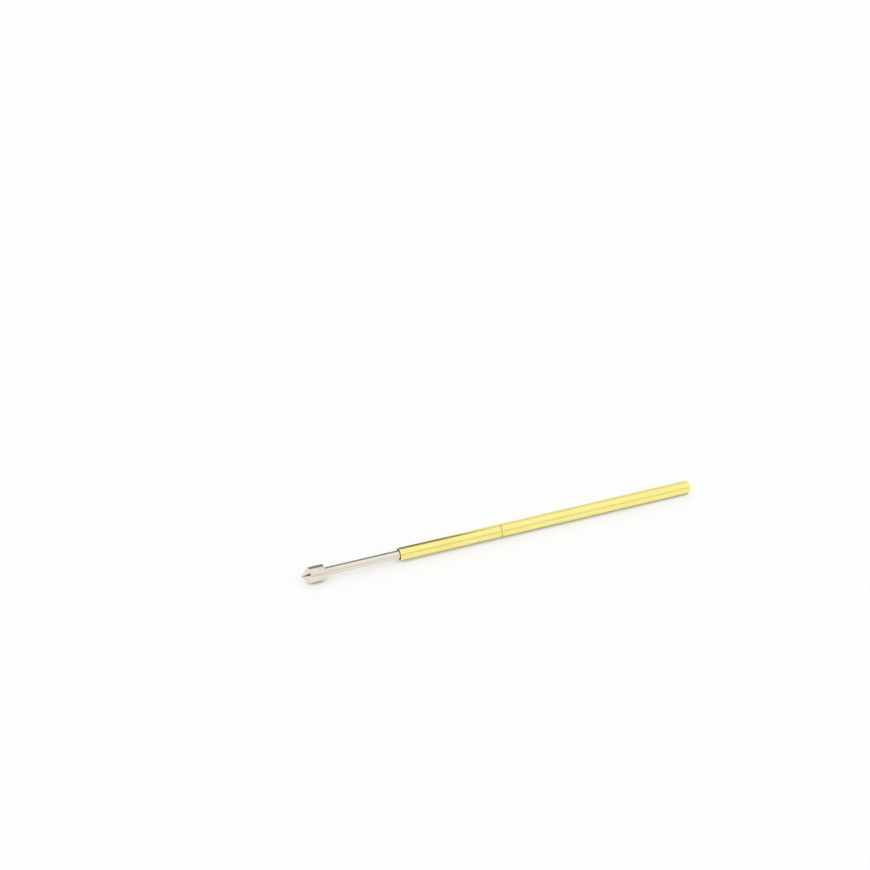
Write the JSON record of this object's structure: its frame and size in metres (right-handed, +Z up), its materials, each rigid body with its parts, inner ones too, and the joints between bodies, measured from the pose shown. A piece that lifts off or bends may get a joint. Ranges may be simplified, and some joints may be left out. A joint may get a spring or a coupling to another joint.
{
  "type": "pogo pin",
  "caption": "Slim spring-loaded contact pin: a closed round barrel with a rolled groove, and a sprung plunger whose wider head ends in a cone point.",
  "frame": {"origin": "centre of the barrel's mouth, on the pin's axis", "axes": "+X runs along the pin's axis from the mouth to the closed end of the barrel, the plunger points to -X, +Z is up as the pin lies"},
  "size_m": [0.0329, 0.0012, 0.0014],
  "materials": {
    "gold_plated_barrel": "bright gold plating, fine drawn lines",
    "nickel_plated_plunger": "bright nickel plating on a turned bar",
    "spring_wire": "drawn stainless wire"
  },
  "bodies": {
    "barrel": {"barrel": "gold_plated_barrel", "spring": "spring_wire"},
    "plunger": {"plunger": "nickel_plated_plunger"}
  },
  "joints": [
    {"name": "plunger_slide", "type": "slide", "parent": "barrel", "child": "plunger", "axis": [1, 0, 0], "range_m": [0, 0.0062], "stiffness_N_per_m": 300, "springref_m": -0.0015, "deforming": ["spring"]}
  ]
}
